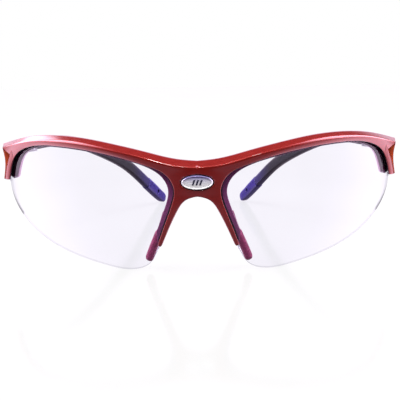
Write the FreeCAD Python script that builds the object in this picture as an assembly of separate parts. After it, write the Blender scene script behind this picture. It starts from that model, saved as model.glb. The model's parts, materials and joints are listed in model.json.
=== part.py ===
"""Sports protective goggles: a half-rim wraparound front, two clear lenses and folding temples.

Millimetres, +Z up, X to the wearer's left, Y towards the back of the head. The goggles stand open on
a table: the lenses' lower edges and the temple tips touch Z = 0. Everything is built from a datum at
the front of the bridge and moved at the end, so that the origin is the middle of the footprint.
Left and right are the wearer's, and left is +X. A right-hand piece is the mirror of the left one.
"""
import FreeCAD, Part
import math
import os

V = FreeCAD.Vector

# ---- the wrap: the pieces of the front are layers between balls with one centre --------------------
WRAP_CENTRE = V(0, 88, 30)
R_FACE = 88.6           # front face of the red frame
R_FACE_TOP = 86.2       # top edge of the brow, set back so that a facet slopes down to the ridge
R_FACE_BACK = 84.8      # back of the red frame, where the inner rim starts
R_LENS_FRONT = 86.9
R_LENS_BACK = 84.8
R_RIM_FRONT = 84.75
R_RIM_BACK = 82.4
R_PAD_BACK = 79.2
FIT = 0.05              # gap between pieces that are clamped or glued together
OUTLINE_START = -10.0   # Y where an outline's prism starts
OUTLINE_DEPTH = 62.0

# ---- outlines seen from the front, X and Z, wearer's left half -------------------------------------
BROW_TOP = [(0, 36.9), (6.3, 37.5), (16.5, 39.8), (27, 42.1), (38, 43.9), (49, 44.4), (60, 43.2), (71.1, 40.1)]
HOOK_OUTER = [(71.1, 40.1), (70.0, 37.2), (69.7, 33.6), (70.3, 28.0)]
HOOK_INNER_END = (67.0, 28.0)
UNDERSIDE = [HOOK_INNER_END, (66.0, 32.6), (63.6, 37.0), (57.5, 40.3), (47.5, 41.1), (35.4, 40.0),
             (24.5, 37.9), (15.5, 35.3), (9.8, 32.4), (7.5, 28.0), (8.45, 22.4), (11.4, 14.5), (13.1, 9.6)]
NOSE_SIDE = [(11.75, 9.4), (9.5, 14.7), (6.6, 20.8), (3.9, 24.4), (0, 25.7)]
LENS_NOSE_CORNER = (12.5, 9.6)
LENS_FREE_EDGE = [(14.3, 5.2), (16.4, 2.2), (21.8, 0.0), (31.5, 0.9), (43, 3.8), (54.2, 8.6), (62, 14.8),
                  (66.4, 21.6), (67.9, 28.2)]
LENS_HELD = 1.3         # how far the lens reaches under the red frame
RIM_LENS_SIDE = [(64.9, 28.6), (63.6, 32.6), (61.8, 36.2), (56.8, 39.4), (47.5, 40.3), (35.4, 39.2),
                 (24.5, 37.1), (16.4, 34.7), (11.6, 31.6), (9.6, 27.8), (10.6, 21.9), (13.7, 13.4)]
RIM_INSET = 0.8         # how far the rim stays below the red frame's top edge
RIM_HOOK = [(68.8, 39.6), (67.9, 37.0), (68.2, 33.4), (68.9, 28.6)]
RIM_NOSE_INSET = 0.4
RIM_ARM_END = (10.5, 13.4)
SPIGOT = [(12.9, 14.0), (11.3, 14.0), (13.6, 8.6), (15.0, 5.6), (15.9, 5.9), (14.9, 8.6)]
R_SPIGOT_FRONT, R_SPIGOT_BACK = 83.9, 82.4
PAD_STEP_Z = 13.4       # the pad's upper end is behind the nose arm, above this height
PAD_LENS_SIDE = [(11.6, 20.4), (14.0, 13.4), (16.5, 7.2), (18.1, 3.4)]
PAD_TIP = [(18.1, 3.4), (17.8, 2.1), (16.2, 1.9)]
PAD_NOSE_SIDE = [(16.2, 1.9), (13.8, 7.2), (11.2, 13.4), (9.0, 18.4)]
RIDGE = [(0, 35.2), (6.3, 35.6), (16.5, 38.1), (27, 40.5), (38, 42.5), (49, 43.1), (60, 42.0), (70.2, 39.1)]
# the hook's outer strip is cut back to a flat floor: a wedge that narrows downwards
SIDE_WEDGE = [(80, 38.7), (68.0, 38.3), (68.7, 34.8), (69.4, 31.4), (70.1, 28.0), (70.3, 27.0), (80, 27.0)]
SIDE_FLOOR_Y = 34.7
BEVEL_RUNOUT = 0.4      # the bevel's cutter overshoots the facet by this share of its width

# ---- badge on the bridge --------------------------------------------------------------------------
BADGE_Z = 30.3
BADGE_LONG, BADGE_SHORT = 10.0, 4.5
BADGE_RECESS = 0.7
BADGE_RIM = 0.45
BADGE_RIM_HEIGHT = 1.0
BADGE_FIELD_HEIGHT = 0.75
MARK_BAR, MARK_GAP, MARK_LEAN, MARK_TALL = 0.55, 0.55, 0.5, 1.7
MARK_RISE, MARK_DEEP = 0.12, 0.4

# ---- hinge, one on each side -----------------------------------------------------------------------
HINGE_X, HINGE_Y, HINGE_Z = 65.6, 42.2, 37.9
FRONT_LEAF_ANGLE = 145.1    # inward angles in plan, from straight back
REST_ANGLE = 22.95          # the temple as the goggles stand
KNUCKLE_RADIUS = 1.7
KNUCKLE_END_TALL = 1.55
KNUCKLE_MIDDLE_TALL = 1.7
WASHER_TALL = 0.2
HINGE_TALL = 2 * (KNUCKLE_END_TALL + WASHER_TALL) + KNUCKLE_MIDDLE_TALL
SCREW_RADIUS = 0.7
SCREW_HEAD_RADIUS, SCREW_HEAD_TALL = 1.15, 0.5
SLOT_WIDE = 0.3
RUNNING_GAP = 0.04
LEAF_CLEARANCE = 0.3        # around the front leaf's knuckles, in the temple's arm
LEAF_OUT, LEAF_IN = -2.0, -0.8      # faces of the front leaf's plate, measured from the axis
TEMPLE_LEAF_OUT, TEMPLE_LEAF_IN = -0.8, -1.7
LEAF_TEMPLE_HALF_TALL = 1.5
TONGUE_LONG = 2.1           # bare length next to the knuckle
LEAF_FRONT_LONG, LEAF_TEMPLE_LONG = 6.5, 8.0
LEAF_FRONT_DROP = 1.3       # the front leaf's plate reaches this far below the hinge's middle
LEAF_WEB_LONG = 2.2
RIVET_RADIUS, RIVET_HEAD_RADIUS, RIVET_HEAD_TALL = 0.55, 0.9, 0.3
RIVETS_FRONT_AT = (3.0, 5.2)
RIVETS_TEMPLE_AT = (3.9, 6.5)
RIVET_FRONT_LONG, RIVET_TEMPLE_LONG = 3.6, 3.0

# ---- temple: its path as distance along in plan, offset outwards and height ------------------------
TEMPLE_PATH = [(0.8, 1.2, 38.0), (12, 1.1, 38.8), (24, 0.6, 38.7), (36, 0.0, 37.1), (50, -0.5, 33.4),
               (64, -0.7, 28.7), (80, -0.6, 22.2), (98, -0.3, 12.1), (106, -0.2, 7.42), (113, 0, 3.48),
               (118, 0, 1.03)]
# sections: distance along, half thickness, half height
ARM_SECTIONS = [(0.8, 2.0, 2.3), (12, 1.95, 2.15), (24, 1.85, 2.2), (50, 1.75, 2.4), (80, 1.75, 2.45),
                (98, 1.75, 2.5)]
SPIGOT_SECTIONS = [(97, 1.0, 1.7), (101, 0.95, 1.6), (104.5, 0.8, 1.3)]
TIP_SECTIONS = [(98, 2.0, 2.7), (106, 2.0, 2.7), (113, 1.9, 2.55), (116.6, 1.5, 2.0), (118, 0.7, 1.0)]
LINER_SECTIONS = [(10, 1.95, 1.5), (24, 1.85, 1.5), (50, 1.75, 1.6), (80, 1.75, 1.65), (95, 1.75, 1.65)]
LINER_SUNK, LINER_PROUD = 0.9, 0.4
LINER_DROP = 0.35           # the liner sits this far below the arm's middle
CORD_HOLE_AT = 107.5
CORD_HOLE_RADIUS = 1.0
SQUARENESS = 3.2            # of the temple's rounded section: 2 is an ellipse, more is boxier
SECTION_POINTS = 16

# ---- from the datum to the middle of the footprint ---------------------------------------------------
FOOTPRINT_Y = 75.25
FOOTPRINT_Z = -0.14


# ---- outlines and layers ---------------------------------------------------------------------------
def spline(points):
    """A smooth edge through points given as (X, Z)."""
    curve = Part.BSplineCurve()
    curve.interpolate([V(x, 0, z) for x, z in points])
    return curve.toShape()


def line(a, b):
    return Part.makeLine(V(a[0], 0, a[1]), V(b[0], 0, b[1]))


def flipped(points):
    """The same points on the other side of the nose, in the opposite order."""
    return [(-x, z) for x, z in reversed(points)]


def both_sides(points):
    """A curve that starts or ends on the middle plane, continued onto the other side."""
    if points[0][0] == 0:
        return flipped(points)[:-1] + points
    return points + flipped(points)[1:]


def shifted(points, distance):
    """The points moved sideways, to the left of their direction of travel."""
    moved = []
    for i, (x, z) in enumerate(points):
        before = points[max(i - 1, 0)]
        after = points[min(i + 1, len(points) - 1)]
        run, rise = after[0] - before[0], after[1] - before[1]
        length = math.hypot(run, rise)
        moved.append((x - distance * rise / length, z + distance * run / length))
    return moved


def prism(edges):
    """The outline that the edges close, drawn out towards the back of the head."""
    face = Part.Face(Part.Wire(Part.sortEdges(edges)[0]))
    face.translate(V(0, OUTLINE_START, 0))
    return face.extrude(V(0, OUTLINE_DEPTH, 0))


def layer(outer, inner):
    return Part.makeSphere(outer, WRAP_CENTRE).cut(Part.makeSphere(inner, WRAP_CENTRE))


def on_wrap(x, z, radius):
    """The point of the wrap's ball of this radius that lies at X and Z."""
    across = x ** 2 + (z - WRAP_CENTRE.z) ** 2
    return V(x, WRAP_CENTRE.y - math.sqrt(radius ** 2 - across), z)


def mirrored(shape):
    return shape.mirror(V(0, 0, 0), V(1, 0, 0))


# ---- lenses, frame, rim and pads -------------------------------------------------------------------
def lens_outline(held):
    """The lens, reaching this far under the frame along its upper edge."""
    upper = shifted(UNDERSIDE, -held)[1:-1]
    upper = [LENS_FREE_EDGE[-1]] + upper + [LENS_NOSE_CORNER]
    return [spline(upper), spline([LENS_NOSE_CORNER] + LENS_FREE_EDGE)]


def lens():
    return prism(lens_outline(LENS_HELD)).common(layer(R_LENS_FRONT, R_LENS_BACK))


def front_outline():
    """The red frame: brow, hooks and nose legs in one closed outline."""
    edges = [spline(both_sides(BROW_TOP)), spline(both_sides(NOSE_SIDE))]
    for side in (list, flipped):
        edges.append(spline(side(HOOK_OUTER)))
        edges.append(line(*side([HOOK_OUTER[-1], HOOK_INNER_END])))
        edges.append(spline(side(UNDERSIDE)))
        edges.append(line(*side([UNDERSIDE[-1], NOSE_SIDE[0]])))
    return edges


def bevel_cutter(ridge, edge):
    """What the top facet removes in front of it, from the ridge back to the outer edge."""
    near = []
    far = []
    for (ridge_x, ridge_z), (edge_x, edge_z) in zip(ridge, edge):
        on_ridge = on_wrap(ridge_x, ridge_z, R_FACE)
        on_edge = on_wrap(edge_x, edge_z, R_FACE_TOP)
        overshoot = (on_edge - on_ridge) * BEVEL_RUNOUT
        near.append(on_ridge - overshoot)
        far.append(on_edge + overshoot)
    curves = []
    for points in (near, far):
        curve = Part.BSplineCurve()
        curve.interpolate(points)
        curves.append(curve.toShape())
    return Part.makeRuledSurface(*curves).extrude(V(0, -20, 0))


def oval(long, short):
    """An upright oval prism in front of the bridge, at the badge's height."""
    face = Part.Face(Part.Wire(Part.Ellipse(V(0, 0, 0), long / 2, short / 2).toShape()))
    face.rotate(V(0, 0, 0), V(1, 0, 0), 90)
    face.translate(V(0, OUTLINE_START, BADGE_Z))
    return face.extrude(V(0, -2 * OUTLINE_START, 0))


def front_frame():
    """The red shell, open behind for the lenses, with its bevels and the badge's recess."""
    frame = prism(front_outline()).common(layer(R_FACE, R_FACE_BACK))
    cutters = [bevel_cutter(both_sides(RIDGE), both_sides(BROW_TOP))]
    side = prism(closed(SIDE_WEDGE)).common(block((60, 90), (-20, SIDE_FLOOR_Y), (20, 45)))
    pocket = prism(lens_outline(LENS_HELD + FIT)).common(layer(R_LENS_FRONT + FIT, R_RIM_BACK))
    hinge = placed_at_hinge(front_leaf_seat(), FRONT_LEAF_ANGLE)
    for piece in (side, pocket, hinge, rivets_front()):
        cutters += [piece, mirrored(piece)]
    cutters.append(oval(BADGE_LONG, BADGE_SHORT).common(layer(R_FACE + 5, R_FACE - BADGE_RECESS)))
    for cutter in cutters:
        frame = frame.cut(cutter)
    return frame


def inner_rim():
    """The plum rim that clamps the lenses from behind, with a nose arm on each side."""
    top = shifted(both_sides(BROW_TOP), -RIM_INSET)[1:-1]
    arch = shifted(both_sides(NOSE_SIDE), -RIM_NOSE_INSET)[2:-2]
    arch = [RIM_ARM_END] + arch + flipped([RIM_ARM_END])
    edges = [spline(flipped(RIM_HOOK[:1]) + top + RIM_HOOK[:1]), spline(arch)]
    for side in (list, flipped):
        edges.append(spline(side(RIM_HOOK)))
        edges.append(line(*side([RIM_HOOK[-1], RIM_LENS_SIDE[0]])))
        edges.append(spline(side(RIM_LENS_SIDE)))
        edges.append(line(*side([RIM_LENS_SIDE[-1], RIM_ARM_END])))
    rim = prism(edges).common(layer(R_RIM_FRONT, R_RIM_BACK))
    for piece in (spigot(), mirrored(spigot())):
        rim = rim.fuse(piece)
    seat = placed_at_hinge(front_leaf_seat(), FRONT_LEAF_ANGLE)
    for piece in (seat, rivets_front()):
        rim = rim.cut(piece).cut(mirrored(piece))
    return rim.removeSplitter()


def closed(corners):
    """Straight edges through the corners and back to the first."""
    return [line(a, b) for a, b in zip(corners, corners[1:] + corners[:1])]


def spigot():
    """The nose arm's thinner end, which the pad is pushed onto."""
    return prism(closed(SPIGOT)).common(layer(R_SPIGOT_FRONT, R_SPIGOT_BACK))


def nose_pad():
    """A soft pad: it wraps the spigot and lies behind the nose arm higher up."""
    edges = [spline(PAD_LENS_SIDE), spline(PAD_TIP), spline(PAD_NOSE_SIDE)]
    edges.append(line(PAD_NOSE_SIDE[-1], PAD_LENS_SIDE[0]))
    pad = prism(edges).common(layer(R_RIM_FRONT, R_PAD_BACK))
    above = Part.makeBox(60, 80, 40, V(-10, -10, PAD_STEP_Z))
    pad = pad.cut(above.common(layer(R_RIM_FRONT + 5, R_RIM_BACK - FIT)))
    return pad.cut(spigot())


# ---- badge -----------------------------------------------------------------------------------------
def badge_plate():
    floor = R_FACE - BADGE_RECESS
    plate = oval(BADGE_LONG, BADGE_SHORT).common(layer(floor + BADGE_RIM_HEIGHT, floor))
    field = oval(BADGE_LONG - 2 * BADGE_RIM, BADGE_SHORT - 2 * BADGE_RIM)
    plate = plate.cut(field.common(layer(R_FACE + 5, floor + BADGE_FIELD_HEIGHT)))
    return plate.cut(badge_mark())


def badge_mark():
    """Three leaning bars, inlaid in the badge's field."""
    top = R_FACE - BADGE_RECESS + BADGE_FIELD_HEIGHT + MARK_RISE
    skin = layer(top, top - MARK_DEEP)
    bars = []
    for place in (-1, 0, 1):
        middle = place * (MARK_BAR + MARK_GAP)
        corners = []
        for across, up in ((-1, -1), (1, -1), (1, 1), (-1, 1)):
            corners.append((middle + (across * MARK_BAR + up * MARK_LEAN) / 2, BADGE_Z + up * MARK_TALL / 2))
        bars.append(prism(closed(corners)).common(skin))
    return Part.makeCompound(bars)


# ---- hinge: drawn with its axis on Z and the leaf along +Y, then turned inwards and placed ----------
def placed_at_hinge(shape, angle):
    placed = shape.copy()
    placed.rotate(V(0, 0, 0), V(0, 0, 1), angle)
    placed.translate(V(HINGE_X, HINGE_Y, HINGE_Z))
    return placed


def block(x_range, y_range, z_range):
    """A box between two X, two Y and two Z values, given in any order."""
    low = V(min(x_range), min(y_range), min(z_range))
    high = V(max(x_range), max(y_range), max(z_range))
    size = high - low
    return Part.makeBox(size.x, size.y, size.z, low)


def disc(radius, z_range):
    return Part.makeCylinder(radius, z_range[1] - z_range[0], V(0, 0, z_range[0]))


def ring(radius, bore, z_range):
    return disc(radius, z_range).cut(disc(bore, z_range))


def front_leaf_seat():
    """The room that the front leaf's plate takes in the rim."""
    z_range = (-LEAF_FRONT_DROP - FIT, HINGE_TALL / 2 + FIT)
    plate = block((LEAF_OUT - FIT, LEAF_IN), (0, LEAF_FRONT_LONG + FIT), z_range)
    half_tall = HINGE_TALL / 2 + FIT
    web = block((LEAF_OUT - FIT, LEAF_IN), (0, LEAF_WEB_LONG + FIT), (-half_tall, half_tall))
    return plate.fuse(web)


def hinge_leaf_front():
    """Two knuckles and a plate that is riveted to the back of the rim."""
    half = HINGE_TALL / 2
    ends = ((-half, KNUCKLE_END_TALL - half), (half - KNUCKLE_END_TALL, half))
    leaf = block((LEAF_OUT, LEAF_IN), (0, LEAF_FRONT_LONG), (-LEAF_FRONT_DROP, half))
    leaf = leaf.fuse(block((LEAF_OUT, LEAF_IN), (0, LEAF_WEB_LONG), (-half, half)))
    for z_range in ends:
        leaf = leaf.fuse(disc(KNUCKLE_RADIUS, z_range))
    leaf = leaf.cut(disc(KNUCKLE_RADIUS + 4 * RUNNING_GAP, (ends[0][1], ends[1][0])))
    leaf = leaf.cut(disc(SCREW_RADIUS, (-half, half)))
    leaf = leaf.cut(disc(SCREW_HEAD_RADIUS, (half - SCREW_HEAD_TALL, half)))
    return placed_at_hinge(leaf, FRONT_LEAF_ANGLE).cut(rivets_front())


def hinge_leaf_temple():
    """One knuckle between the front leaf's two, and a plate on the arm's inner face."""
    half = KNUCKLE_MIDDLE_TALL / 2 - RUNNING_GAP
    faces = (TEMPLE_LEAF_OUT, TEMPLE_LEAF_IN)
    leaf = disc(KNUCKLE_RADIUS, (-half, half)).fuse(block(faces, (0, TONGUE_LONG), (-half, half)))
    tall = (-LEAF_TEMPLE_HALF_TALL, LEAF_TEMPLE_HALF_TALL)
    leaf = leaf.fuse(block(faces, (TONGUE_LONG, LEAF_TEMPLE_LONG), tall))
    leaf = leaf.cut(disc(SCREW_RADIUS + RUNNING_GAP, (-half, half)))
    return placed_at_hinge(leaf, REST_ANGLE).cut(rivets_temple())


def hinge_screw():
    half = HINGE_TALL / 2
    screw = disc(SCREW_RADIUS, (-half, half)).fuse(disc(SCREW_HEAD_RADIUS, (half - SCREW_HEAD_TALL, half)))
    reach = 2 * SCREW_HEAD_RADIUS
    slot = block((-reach, reach), (-SLOT_WIDE / 2, SLOT_WIDE / 2), (half - SCREW_HEAD_TALL / 2, half))
    return placed_at_hinge(screw.cut(slot), FRONT_LEAF_ANGLE)


def hinge_washers():
    half = KNUCKLE_MIDDLE_TALL / 2
    bore = SCREW_RADIUS + RUNNING_GAP
    pair = [ring(KNUCKLE_RADIUS, bore, (half, half + WASHER_TALL)),
            ring(KNUCKLE_RADIUS, bore, (-half - WASHER_TALL, -half))]
    return placed_at_hinge(Part.makeCompound(pair), FRONT_LEAF_ANGLE)


def rivets(places, head_face, direction, length, z):
    """Round-headed rivets along X, at these places along the leaf."""
    made = []
    for along in places:
        root = V(head_face, along, z)
        axis = V(direction, 0, 0)
        shank = Part.makeCylinder(RIVET_RADIUS, length, root, axis)
        head = Part.makeCone(RIVET_HEAD_RADIUS, RIVET_RADIUS, RIVET_HEAD_TALL, root, axis * -1)
        made.append(shank.fuse(head).removeSplitter())
    return Part.makeCompound(made)


def rivets_front():
    middle = (HINGE_TALL / 2 - LEAF_FRONT_DROP) / 2
    return placed_at_hinge(rivets(RIVETS_FRONT_AT, LEAF_IN, -1, RIVET_FRONT_LONG, middle), FRONT_LEAF_ANGLE)


def rivets_temple():
    return placed_at_hinge(rivets(RIVETS_TEMPLE_AT, TEMPLE_LEAF_IN, 1, RIVET_TEMPLE_LONG, 0), REST_ANGLE)


# ---- temple: drawn with X outwards, Y along and Z up ---------------------------------------------------
def temple_path():
    curve = Part.BSplineCurve()
    curve.interpolate([V(out, along, z) for along, out, z in TEMPLE_PATH])
    return curve


def path_frame(along):
    """The path's point at a distance along, and the direction across the temple's height there."""
    curve = temple_path()
    low, high = curve.FirstParameter, curve.LastParameter
    for _ in range(40):
        middle = (low + high) / 2
        if curve.value(middle).y < along:
            low = middle
        else:
            high = middle
    direction = curve.tangent(low)[0]
    return curve.value(low), V(1, 0, 0).cross(direction).normalize()


def section(along, half_thick, half_tall, out=0.0, up=0.0):
    """A rounded rectangle across the temple."""
    middle, upward = path_frame(along)
    middle = middle + V(out, 0, 0) + upward * up
    points = []
    for i in range(SECTION_POINTS):
        angle = 2 * math.pi * i / SECTION_POINTS
        side, rise = math.cos(angle), math.sin(angle)
        across = math.copysign(abs(side) ** (2 / SQUARENESS), side)
        height = math.copysign(abs(rise) ** (2 / SQUARENESS), rise)
        points.append(middle + V(across * half_thick, 0, 0) + upward * (height * half_tall))
    curve = Part.BSplineCurve()
    curve.interpolate(points, PeriodicFlag=True)
    return Part.Wire(curve.toShape())


def loft(sections):
    return Part.makeLoft([section(*values) for values in sections], True)


def placed_temple(shape):
    placed = shape.copy()
    placed.rotate(V(0, 0, 0), V(0, 0, 1), REST_ANGLE)
    placed.translate(V(HINGE_X, HINGE_Y, 0))
    return placed


def liner_shape():
    middle = (LINER_SUNK - LINER_PROUD) / 2
    half = (LINER_SUNK + LINER_PROUD) / 2
    return loft([(along, half, half_tall, middle - arm_half, -LINER_DROP)
                 for along, arm_half, half_tall in LINER_SECTIONS])


def temple_arm():
    """The red arm: room for the knuckles in front, a slimmer spigot for the tip behind."""
    arm = placed_temple(loft(ARM_SECTIONS).fuse(loft(SPIGOT_SECTIONS)).cut(liner_shape()))
    knuckle_room = disc(KNUCKLE_RADIUS + LEAF_CLEARANCE, (-HINGE_TALL, HINGE_TALL))
    for piece in (placed_at_hinge(knuckle_room, 0), hinge_leaf_temple(), rivets_temple()):
        arm = arm.cut(piece)
    return arm


def temple_liner():
    return placed_temple(liner_shape())


def cord_hole():
    middle = path_frame(CORD_HOLE_AT)[0]
    return Part.makeCylinder(CORD_HOLE_RADIUS, 10, middle - V(5, 0, 0), V(1, 0, 0))


def temple_tip():
    tip = loft(TIP_SECTIONS).cut(loft(SPIGOT_SECTIONS)).cut(cord_hole())
    return placed_temple(tip)


# ---- the whole -----------------------------------------------------------------------------------------
def build():
    parts = {
        "front_frame": front_frame(),
        "inner_rim": inner_rim(),
        "badge_plate": badge_plate(),
        "badge_mark": badge_mark(),
    }
    handed = {
        "lens": lens(),
        "nose_pad": nose_pad(),
        "hinge_leaf_front": hinge_leaf_front(),
        "hinge_leaf_temple": hinge_leaf_temple(),
        "hinge_screw": hinge_screw(),
        "hinge_washers": hinge_washers(),
        "leaf_rivets_front": rivets_front(),
        "leaf_rivets_temple": rivets_temple(),
        "temple_arm": temple_arm(),
        "temple_liner": temple_liner(),
        "temple_tip": temple_tip(),
    }
    for name, shape in handed.items():
        parts[name + "_left"] = shape
        parts[name + "_right"] = mirrored(shape)
    return parts


os.makedirs("parts", exist_ok=True)
for name, shape in build().items():
    shape.translate(V(0, -FOOTPRINT_Y, -FOOTPRINT_Z))
    shape.exportStep("parts/" + name + ".step")
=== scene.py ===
"""Looks of the sports protective goggles: refined meshes, materials, light and camera.

Outlines are in millimetres from a datum at the front of the bridge, as seen from the front (X to the
wearer's left, Z up). Depths are radii of balls about the wrap's centre. place() turns them into the
frame's metres, and the frame's own boxes say where the datum is.
"""
import json
import math

import bmesh
import bpy
import numpy as np
from mathutils import Matrix, Vector


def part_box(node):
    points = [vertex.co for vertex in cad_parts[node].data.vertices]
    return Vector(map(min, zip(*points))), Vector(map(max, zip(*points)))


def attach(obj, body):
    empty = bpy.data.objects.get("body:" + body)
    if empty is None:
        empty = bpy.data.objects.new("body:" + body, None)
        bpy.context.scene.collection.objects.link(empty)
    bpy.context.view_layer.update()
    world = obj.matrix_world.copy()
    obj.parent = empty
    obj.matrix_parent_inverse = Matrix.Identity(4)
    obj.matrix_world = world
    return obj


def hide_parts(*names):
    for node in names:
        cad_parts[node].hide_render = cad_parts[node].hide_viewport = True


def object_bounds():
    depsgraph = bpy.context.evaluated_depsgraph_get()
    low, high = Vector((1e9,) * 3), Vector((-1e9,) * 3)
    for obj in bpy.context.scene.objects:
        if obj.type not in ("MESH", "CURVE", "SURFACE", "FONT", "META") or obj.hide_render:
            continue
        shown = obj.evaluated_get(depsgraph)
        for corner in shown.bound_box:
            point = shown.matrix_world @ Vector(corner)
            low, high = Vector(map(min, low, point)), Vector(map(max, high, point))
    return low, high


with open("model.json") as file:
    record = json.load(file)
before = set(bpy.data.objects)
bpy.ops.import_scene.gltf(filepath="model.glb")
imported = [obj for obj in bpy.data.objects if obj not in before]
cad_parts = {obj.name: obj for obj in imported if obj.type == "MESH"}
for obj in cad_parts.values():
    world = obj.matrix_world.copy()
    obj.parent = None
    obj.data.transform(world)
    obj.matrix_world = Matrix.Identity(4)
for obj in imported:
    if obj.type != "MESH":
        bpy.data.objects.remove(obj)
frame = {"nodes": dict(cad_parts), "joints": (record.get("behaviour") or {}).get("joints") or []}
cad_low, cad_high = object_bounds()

MM = 0.001
SHARP = math.radians(38)        # edges that turn more than this stay crisp

# ---- datum, from the frame -----------------------------------------------------------------------
BADGE_RIM_RADIUS = 88.9         # ball that the badge's rim touches, the foremost thing there is
WRAP_Y, WRAP_Z = 88.0, 30.0     # the wrap's centre, from the datum
HALF_WIDTH = 71.1               # of the front, in the outlines below
LENS_DROP = 0.14                # the lens outline's lowest point, below the datum
DATUM_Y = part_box("badge_plate")[0].y - (WRAP_Y - BADGE_RIM_RADIUS) * MM
DATUM_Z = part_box("lens_left")[0].z + LENS_DROP * MM
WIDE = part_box("front_frame")[1].x / (HALF_WIDTH * MM)

# ---- outlines of the wearer's left half ----------------------------------------------------------
BROW_TOP = [(71.1, 40.1), (60, 43.2), (49, 44.4), (38, 43.9), (27, 42.1), (16.5, 39.8), (6.3, 37.5),
            (0, 36.9)]
RIDGE = [(70.2, 39.1), (60, 42.0), (49, 43.1), (38, 42.5), (27, 40.5), (16.5, 38.1), (6.3, 35.6),
         (0, 35.2)]
# the hook's outer strip lies deeper: its inner edge and its outer edge, from the bottom up
SIDE_RIDGE = [(69.7, 28.0), (68.9, 31.4), (67.7, 34.8), (66.1, 39.0)]
SIDE_EDGE = [(70.3, 28.0), (69.8, 31.5), (69.7, 35.0), (70.4, 38.8)]
UNDERSIDE = [(67.5, 28.0), (66.4, 32.6), (64.0, 37.0), (57.7, 40.3), (47.5, 41.1), (35.4, 40.0),
             (24.5, 37.9), (15.5, 35.3), (9.8, 32.4), (7.5, 28.0), (8.45, 22.4), (11.4, 14.5), (13.1, 9.6)]
NOSE_SIDE = [(0, 25.7), (3.9, 24.4), (6.6, 20.8), (9.5, 14.7), (11.75, 9.4)]
LENS_FREE_EDGE = [(67.9, 28.2), (66.4, 21.6), (62, 14.8), (54.2, 8.6), (43, 3.8), (31.5, 0.9),
                  (21.8, 0.0), (16.4, 2.2), (14.3, 5.2), (12.5, 9.6)]
RIM_TOP = [(68.8, 39.6), (60, 42.4), (49, 43.6), (38, 43.1), (27, 41.3), (16.5, 39.0), (6.3, 36.7),
           (0, 36.1)]
RIM_HOOK = [(68.9, 28.6), (68.2, 33.4), (67.9, 37.0), (68.8, 39.6)]
RIM_LENS_SIDE = [(64.9, 28.6), (63.6, 32.6), (61.8, 36.2), (56.8, 39.4), (47.5, 40.3), (35.4, 39.2),
                 (24.5, 37.1), (16.4, 34.7), (11.6, 31.6), (9.6, 27.8), (10.6, 21.9), (13.7, 13.4)]
RIM_NOSE_SIDE = [(0, 26.1), (4.2, 24.7), (7.0, 20.9), (9.8, 14.9), (10.5, 13.4)]

# ---- depths --------------------------------------------------------------------------------------
R_RIDGE = 88.7
R_STRIP_TOP = 88.5              # the hook's outer edge where the deeper strip ends
R_TOP_EDGE = 86.2
R_UNDER_EDGE = 88.0
R_ARCH = 88.2
R_LEG_TIP = 88.0
R_FACE_BACK = 84.82
R_LENS_FRONT, R_LENS_BACK = 86.9, 84.82
R_RIM_FRONT, R_RIM_BACK = 84.75, 82.4
FIT = 0.05
LENS_HELD = 1.3                 # how far the lens reaches under the shell
SIDE_FLOOR_Y = 34.7             # the outer strip's flat floor, from the datum
STRIP_LEAST = 0.1               # the least that the strip lies below the front face
SHADE_LINE_WIDE = 0.45              # painted shade: a black line on the plum rim along the red shell's edge, where the shell's step shades it
FACE_SHARES = (0.3, 0.44, 0.58, 0.72, 0.86)     # places down the front face
FACE_BULGE = 0.16               # how much the front face swells between its edges


# ---- curves and places ---------------------------------------------------------------------------
def place(x, z, radius):
    """Outline X and Z on the wrap's ball of this radius, in the frame's metres."""
    depth = WRAP_Y - math.sqrt(radius ** 2 - x ** 2 - (z - WRAP_Z) ** 2)
    return Vector((x * WIDE * MM, DATUM_Y + depth * MM, DATUM_Z + z * MM))


def ball_radius(x, y, z):
    """Radius of the wrap's ball through a point given in millimetres from the datum."""
    return math.sqrt(x ** 2 + (WRAP_Y - y) ** 2 + (z - WRAP_Z) ** 2)


def spline(points):
    """A natural cubic curve through the points, as a function of the point number."""
    values = np.array(points, float)
    knots = np.concatenate([[0], np.cumsum(np.linalg.norm(np.diff(values, axis=0), axis=1))])
    gaps = np.diff(knots)
    count = len(values)
    system = np.eye(count)
    wanted = np.zeros_like(values)
    slopes = np.diff(values, axis=0) / gaps[:, None]
    for i in range(1, count - 1):
        system[i, i - 1:i + 2] = gaps[i - 1], 2 * (gaps[i - 1] + gaps[i]), gaps[i]
        wanted[i] = 6 * (slopes[i] - slopes[i - 1])
    bend = np.linalg.solve(system, wanted)

    def at(number):
        number = np.clip(np.asarray(number, float), 0, count - 1)
        i = np.minimum(number.astype(int), count - 2)
        gap = gaps[i][:, None]
        ahead = (number - i)[:, None]
        behind = 1 - ahead
        straight = behind * values[i] + ahead * values[i + 1]
        curl = (behind ** 3 - behind) * bend[i] + (ahead ** 3 - ahead) * bend[i + 1]
        return straight + gap ** 2 / 6 * curl
    return at


def stations(points, cuts, counts):
    """Places along the curve: evenly spaced, this many steps between each two cuts (point numbers)."""
    curve = spline(points)
    found = [curve([cuts[0]])]
    for start, end, count in zip(cuts, cuts[1:], counts):
        fine = curve(np.linspace(start, end, 40 * count))
        walked = np.concatenate([[0], np.cumsum(np.linalg.norm(np.diff(fine, axis=0), axis=1))])
        even = np.linspace(0, walked[-1], count + 1)[1:]
        found.append(np.stack([np.interp(even, walked, fine[:, k]) for k in range(fine.shape[1])], 1))
    return np.concatenate(found)


def straight(start, end, count):
    """Evenly spaced places on a line, without its first point."""
    share = np.linspace(0, 1, count + 1)[1:, None]
    return np.array(start) * (1 - share) + np.array(end) * share


def shifted(places, distance):
    """Places moved sideways, to the right of their direction of travel."""
    along = np.gradient(places, axis=0)
    along /= np.linalg.norm(along, axis=1)[:, None]
    across = np.stack([along[:, 1], -along[:, 0]], 1)
    return places + across * np.asarray(distance).reshape(-1, 1)


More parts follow.
